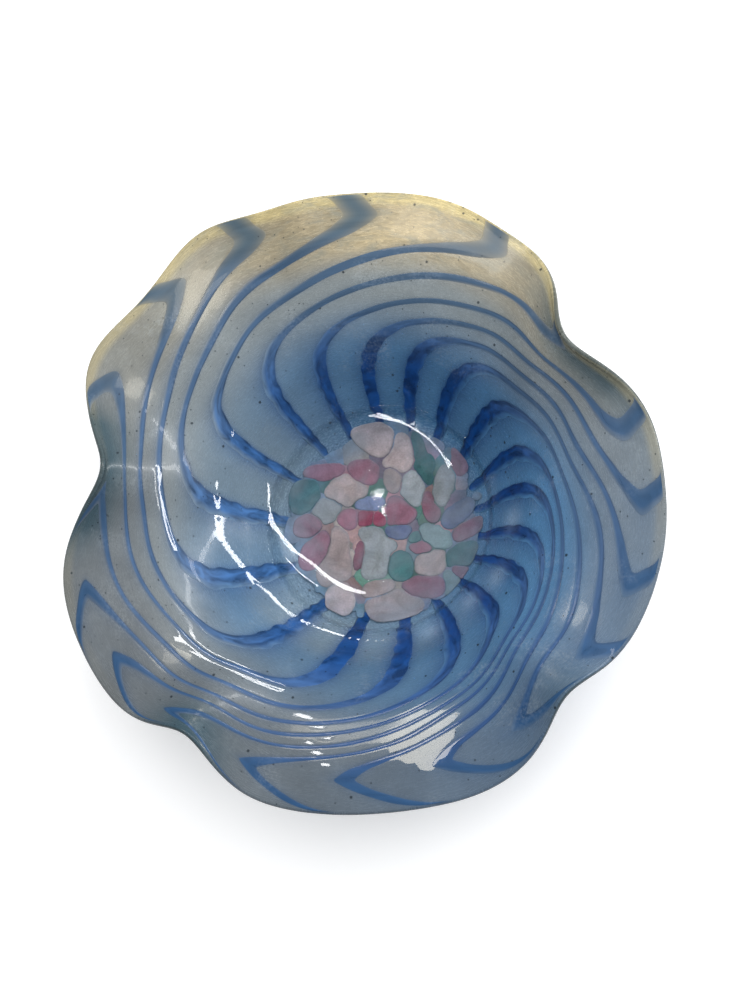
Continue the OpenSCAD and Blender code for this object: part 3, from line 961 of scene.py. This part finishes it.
def oval(source):
    """Reach of a small oval chip along each ray."""
    long, short = source.uniform(5.5, 8.5), source.uniform(3.6, 5.4)
    turn = source.uniform(0, np.pi)
    return 1 / np.hypot(np.cos(RAY_TURNS - turn) / long, np.sin(RAY_TURNS - turn) / short)


def remoteness(points, chip):
    """Distance of points from a chip's middle, where 1 is the chip's own edge."""
    middle, reach = chip
    d = points - middle
    edge = np.interp(np.arctan2(d[..., 1], d[..., 0]), RAY_TURNS, reach, period=2 * np.pi)
    return np.linalg.norm(d, axis=-1) / edge


def scatter_bed(source):
    """Small chips that cover the floor of the pocket, with an uneven edge."""
    bed = []
    for dart in source.uniform(-CHIP_REACH, CHIP_REACH, (BED_DARTS, 2)):
        turn = np.arctan2(dart[1], dart[0])
        reach = BED_REACH + 3 * np.sin(3 * turn + 1) + 2 * np.sin(5 * turn)
        gaps = [np.hypot(*(dart - chip[0])) for chip in bed]
        if np.hypot(*dart) < reach and min(gaps, default=np.inf) > BED_SPACING:
            bed.append((dart, oval(source)))
    return bed


def swell(index, chips, limit, gap, uneven=0.0):
    """A chip's outline, swollen until it meets the chips around it or the edge of the disc.

    The chips keep short of that edge by a distance that changes round it, up to twice uneven.
    """
    middle, reach = chips[index]
    sizes = np.linspace(LEAST_SWELL, limit, SWELL_STEPS)
    points = middle + (sizes[:, None] * reach)[..., None] * RAYS
    others = [
        remoteness(points, chip) for number, chip in enumerate(chips)
        if number != index and np.hypot(*(chip[0] - middle)) < NEIGHBOURS_WITHIN
    ]
    turns = np.arctan2(points[..., 1], points[..., 0])
    edge = CHIP_REACH - uneven * (1 + 0.6 * np.sin(3 * turns + 1) + 0.4 * np.sin(7 * turns))
    fits = (sizes[:, None] < np.min(others, axis=0)) & (np.linalg.norm(points, axis=-1) < edge)
    fits = np.logical_and.accumulate(fits, axis=0)
    size = np.maximum(sizes[np.maximum(fits.sum(0) - 1, 0)] * reach - gap, LEAST_CHIP)
    smoothed = size
    for _ in range(SMOOTHINGS):
        smoothed = 0.4 * smoothed + 0.3 * (np.roll(smoothed, 1) + np.roll(smoothed, -1))
    return middle + np.minimum(size, smoothed)[:, None] * RAYS


def dish_height(radius):
    """Height of the inside of the bowl's base, at a distance from its middle."""
    profile = smooth_at(PROFILE, np.linspace(0, 0.6, 200))
    return np.interp(radius, profile[:, 0], profile[:, 1])


def pebble(outline, top):
    """Rings of points of a flat, round-edged chip in the pocket, and how near its edge each is."""
    middle = outline.mean(0)
    thick = (CHIP_BOTTOM - top) / 2
    loops = [(inset, -rise) for inset, rise in CHIP_DOME[:0:-1]] + CHIP_DOME
    points = []
    for inset, rise in loops:
        flat = outline + (middle - outline) * inset
        height = dish_height(np.linalg.norm(flat, axis=-1)) - top - thick + thick * rise
        points.append(np.column_stack([flat, height]))
    edge = [1 - min(inset / EDGE_WIDTH, 1) for inset, rise in loops]
    return np.array(points), np.array(edge)


def melting(points, top):
    """How far a chip melts into the haze at the edge of the disc. The bed melts further."""
    radius = np.linalg.norm(points[..., :2], axis=-1)
    in_bed = top > CHIP_TOP
    return 0.9 * smooth_ramp(radius, 32, 50) if in_bed else 0.35 * smooth_ramp(radius, 28, 54)


def add_chips(name, outlines, colours, tops, material):
    """One piece made of one or more chips, each with its own colour and depth under the glass."""
    points, faces, tints, edges = [], [], [], []
    for outline, colour, top in zip(outlines, colours, tops):
        shape, edge = pebble(outline, top)
        rows, start = len(shape), sum(len(p) for p in points)
        quads = np.array(grid_faces(rows, CHIP_RAYS, closed=True)) + start
        faces += quads[:, BACKWARDS].tolist()
        faces.append(list(range(start, start + CHIP_RAYS))[BACKWARDS])
        faces.append(list(range(start + (rows - 1) * CHIP_RAYS, start + rows * CHIP_RAYS)))
        points.append(shape.reshape(-1, 3))
        melted = melting(shape, top)
        tints.append(mix(colour, BASE_HAZE, melted).reshape(-1, 3))
        edges.append((edge[:, None] * (1 - melted)).ravel())
    piece = add_piece(name, np.concatenate(points), faces, material)
    paint(piece, "tint", np.concatenate(tints)[None])
    paint(piece, "edge", np.concatenate(edges)[None])
    return piece


CHIP_COLOURS = {
    "red": rgb(130, 66, 86),
    "rose": rgb(120, 84, 98),
    "salmon": rgb(148, 134, 134),
    "white": rgb(134, 138, 142),
    "lavender": rgb(92, 102, 132),
    "mint": rgb(100, 120, 124),
    "green": rgb(58, 96, 98),
}
BED_COLOURS = [
    rgb(100, 122, 134), rgb(146, 108, 118), rgb(88, 122, 110), rgb(144, 136, 132),
    rgb(118, 106, 124), rgb(78, 110, 104), rgb(110, 124, 146), rgb(152, 126, 126),
]
# Darkest and lightest of each kind, as a part of its colour
CHIP_SHADES = (0.8, 1.25)
BED_SHADES = (0.6, 1.15)
BED_DEPTHS = (0, 0.2)
CHIP_SEED = 11


def build_chips(material):
    """The named chips, lying on a bed of crumbs that covers the floor of the pocket."""
    source = np.random.default_rng(CHIP_SEED)
    names = [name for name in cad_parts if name.startswith("chip_") and name != "chip_crumbs"]
    large = [outline_of(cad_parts[name]) for name in names]
    for index, name in enumerate(names):
        kind = name.split("_")[1]
        colour = CHIP_COLOURS[kind] * source.uniform(*CHIP_SHADES)
        outline = swell(index, large, CHIP_SWELL, CHIP_GAP)
        piece = add_chips(name + "_glass", [outline], [colour], [CHIP_TOP], material)
        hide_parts(name)
    bed = scatter_bed(source)
    count = len(bed)
    outlines = [swell(index, bed, BED_SWELL, -BED_OVERLAP, BED_UNEVEN) for index in range(count)]
    picks = source.integers(len(BED_COLOURS), size=count)
    colours = [BED_COLOURS[pick] * source.uniform(*BED_SHADES) for pick in picks]
    tops = BED_TOP + source.uniform(*BED_DEPTHS, count)
    crumbs = add_chips("chip_crumbs_glass", outlines, colours, tops, material)
    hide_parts("chip_crumbs")


def dress_foot(material):
    """The CAD foot keeps its shape and gets the clear glass."""
    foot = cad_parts["foot"]
    foot.data.materials.clear()
    foot.data.materials.append(material)


# ---------------------------------------------------------------- stage and lights
LAMP_TARGET = Vector((0, 0, 0.04))
FLOOR_REACH = 2.5


def aim(thing, eye, target, up):
    """Turns an object at eye to look at target, with up kept upright in its view."""
    back = (eye - target).normalized()
    right = up.cross(back).normalized()
    turn = Matrix((right, back.cross(right), back)).transposed()
    thing.matrix_world = Matrix.Translation(eye) @ turn.to_4x4()


def add_camera():
    camera = bpy.data.objects.new("camera", bpy.data.cameras.new("camera"))
    bpy.context.scene.collection.objects.link(camera)
    camera.data.lens = CAMERA_LENS
    camera.data.sensor_width = CAMERA_SENSOR
    camera.data.shift_x, camera.data.shift_y = CAMERA_SHIFT
    aim(camera, CAMERA_AIM + TOWARD_CAMERA * CAMERA_DISTANCE, CAMERA_AIM, Vector((0, 1, 0)))
    bpy.context.scene.camera = camera


def add_lamp(name, eye, span, length, width, power, mirrored=True, pieces=(), colour=(1, 1, 1)):
    """An area light that faces the bowl, with its long side along span. Sizes are in metres.

    A lamp that isn't mirrored lights the glass but doesn't show in its gloss. A lamp with pieces
    shines on those pieces alone.
    """
    light = bpy.data.lights.new(name, "AREA")
    light.shape = "RECTANGLE"
    light.size, light.size_y = length, width
    light.energy = power
    light.color = colour
    lamp = bpy.data.objects.new(name, light)
    bpy.context.scene.collection.objects.link(lamp)
    eye = Vector(eye)
    aim(lamp, eye, LAMP_TARGET, (eye - LAMP_TARGET).cross(Vector(span)))
    lamp.visible_glossy = mirrored
    lamp.visible_transmission = mirrored
    if pieces:
        lit = bpy.data.collections.new(name + "_shines_on")
        for piece in pieces:
            lit.objects.link(piece)
        lamp.light_linking.receiver_collection = lit


def add_floor():
    """A plain pale floor that glows a little, as the photo's background is cut out to white."""
    mesh = bpy.data.meshes.new("floor")
    signs = [(-1, -1), (1, -1), (1, 1), (-1, 1)]
    corners = [(FLOOR_REACH * x, FLOOR_REACH * y, 0) for x, y in signs]
    mesh.from_pydata(corners, [], [(0, 1, 2, 3)])
    graph = Graph("pale_floor")
    paper = graph.noise(graph.place(), 300.0, detail=2.0)
    graph.set(
        Base_Color=graph.blend(paper, swatch(236, 237, 238), swatch(240, 240, 240)),
        Roughness=0.7,
        Emission_Color=swatch(250, 250, 250),
        Emission_Strength=0.35,
    )
    mesh.materials.append(graph.material)
    floor = bpy.data.objects.new("floor", mesh)
    bpy.context.scene.collection.objects.link(floor)


def add_daylight():
    world = bpy.data.worlds.new("studio")
    world.use_nodes = True
    sky = world.node_tree.nodes["Background"]
    sky.inputs["Color"].default_value = (0.93, 0.96, 1.0, 1)
    sky.inputs["Strength"].default_value = 0.18
    bpy.context.scene.world = world


def add_lamps(walls, casing):
    """The lamps of the room in the photo, and a large soft one that shows in nothing."""
    add_lamp("ceiling_strip", CEILING_EYE * MM, (1, 0.1, 0), 3.9, 0.12, 34)
    add_lamp("second_strip", (1.73, 1.88, 1.19), (1, 0.3, 0), 2.0, 0.06, 10, pieces=[casing])
    add_lamp("left_strip", LEFT_EYE * MM, (0.12, -1, 0), 1.9, 0.09, 10, pieces=[casing])
    add_lamp(
        "window", WINDOW_EYE * MM, (0, 1, 0), 0.34, 0.20, 2.4, pieces=walls, colour=(1, 0.94, 0.8)
    )
    add_lamp("bulb", (-0.290, 0.303, 1.16), (1, 0, 0), 0.004, 0.003, 0.005, pieces=[casing])
    add_lamp("fill", (0.30, 0.35, 1.5), (1, 0, 0), 2.2, 2.2, 38, mirrored=False)


def build():
    """All of the bowl. Returns the wall with its canes, and the clear glass of the base."""
    glass = clear_glass()
    walls = [build_wall(opal_glass())]
    blue = cane_glass()
    walls += [build_cane(number, cane, blue) for number, cane in enumerate(CANES, 1)]
    casing = build_casing(glass)
    build_chips(chip_glass())
    dress_foot(glass)
    return walls, casing


add_camera()
add_floor()
add_daylight()
walls, casing = build()
add_lamps(walls, casing)
bpy.context.scene.view_settings.view_transform = "Standard"
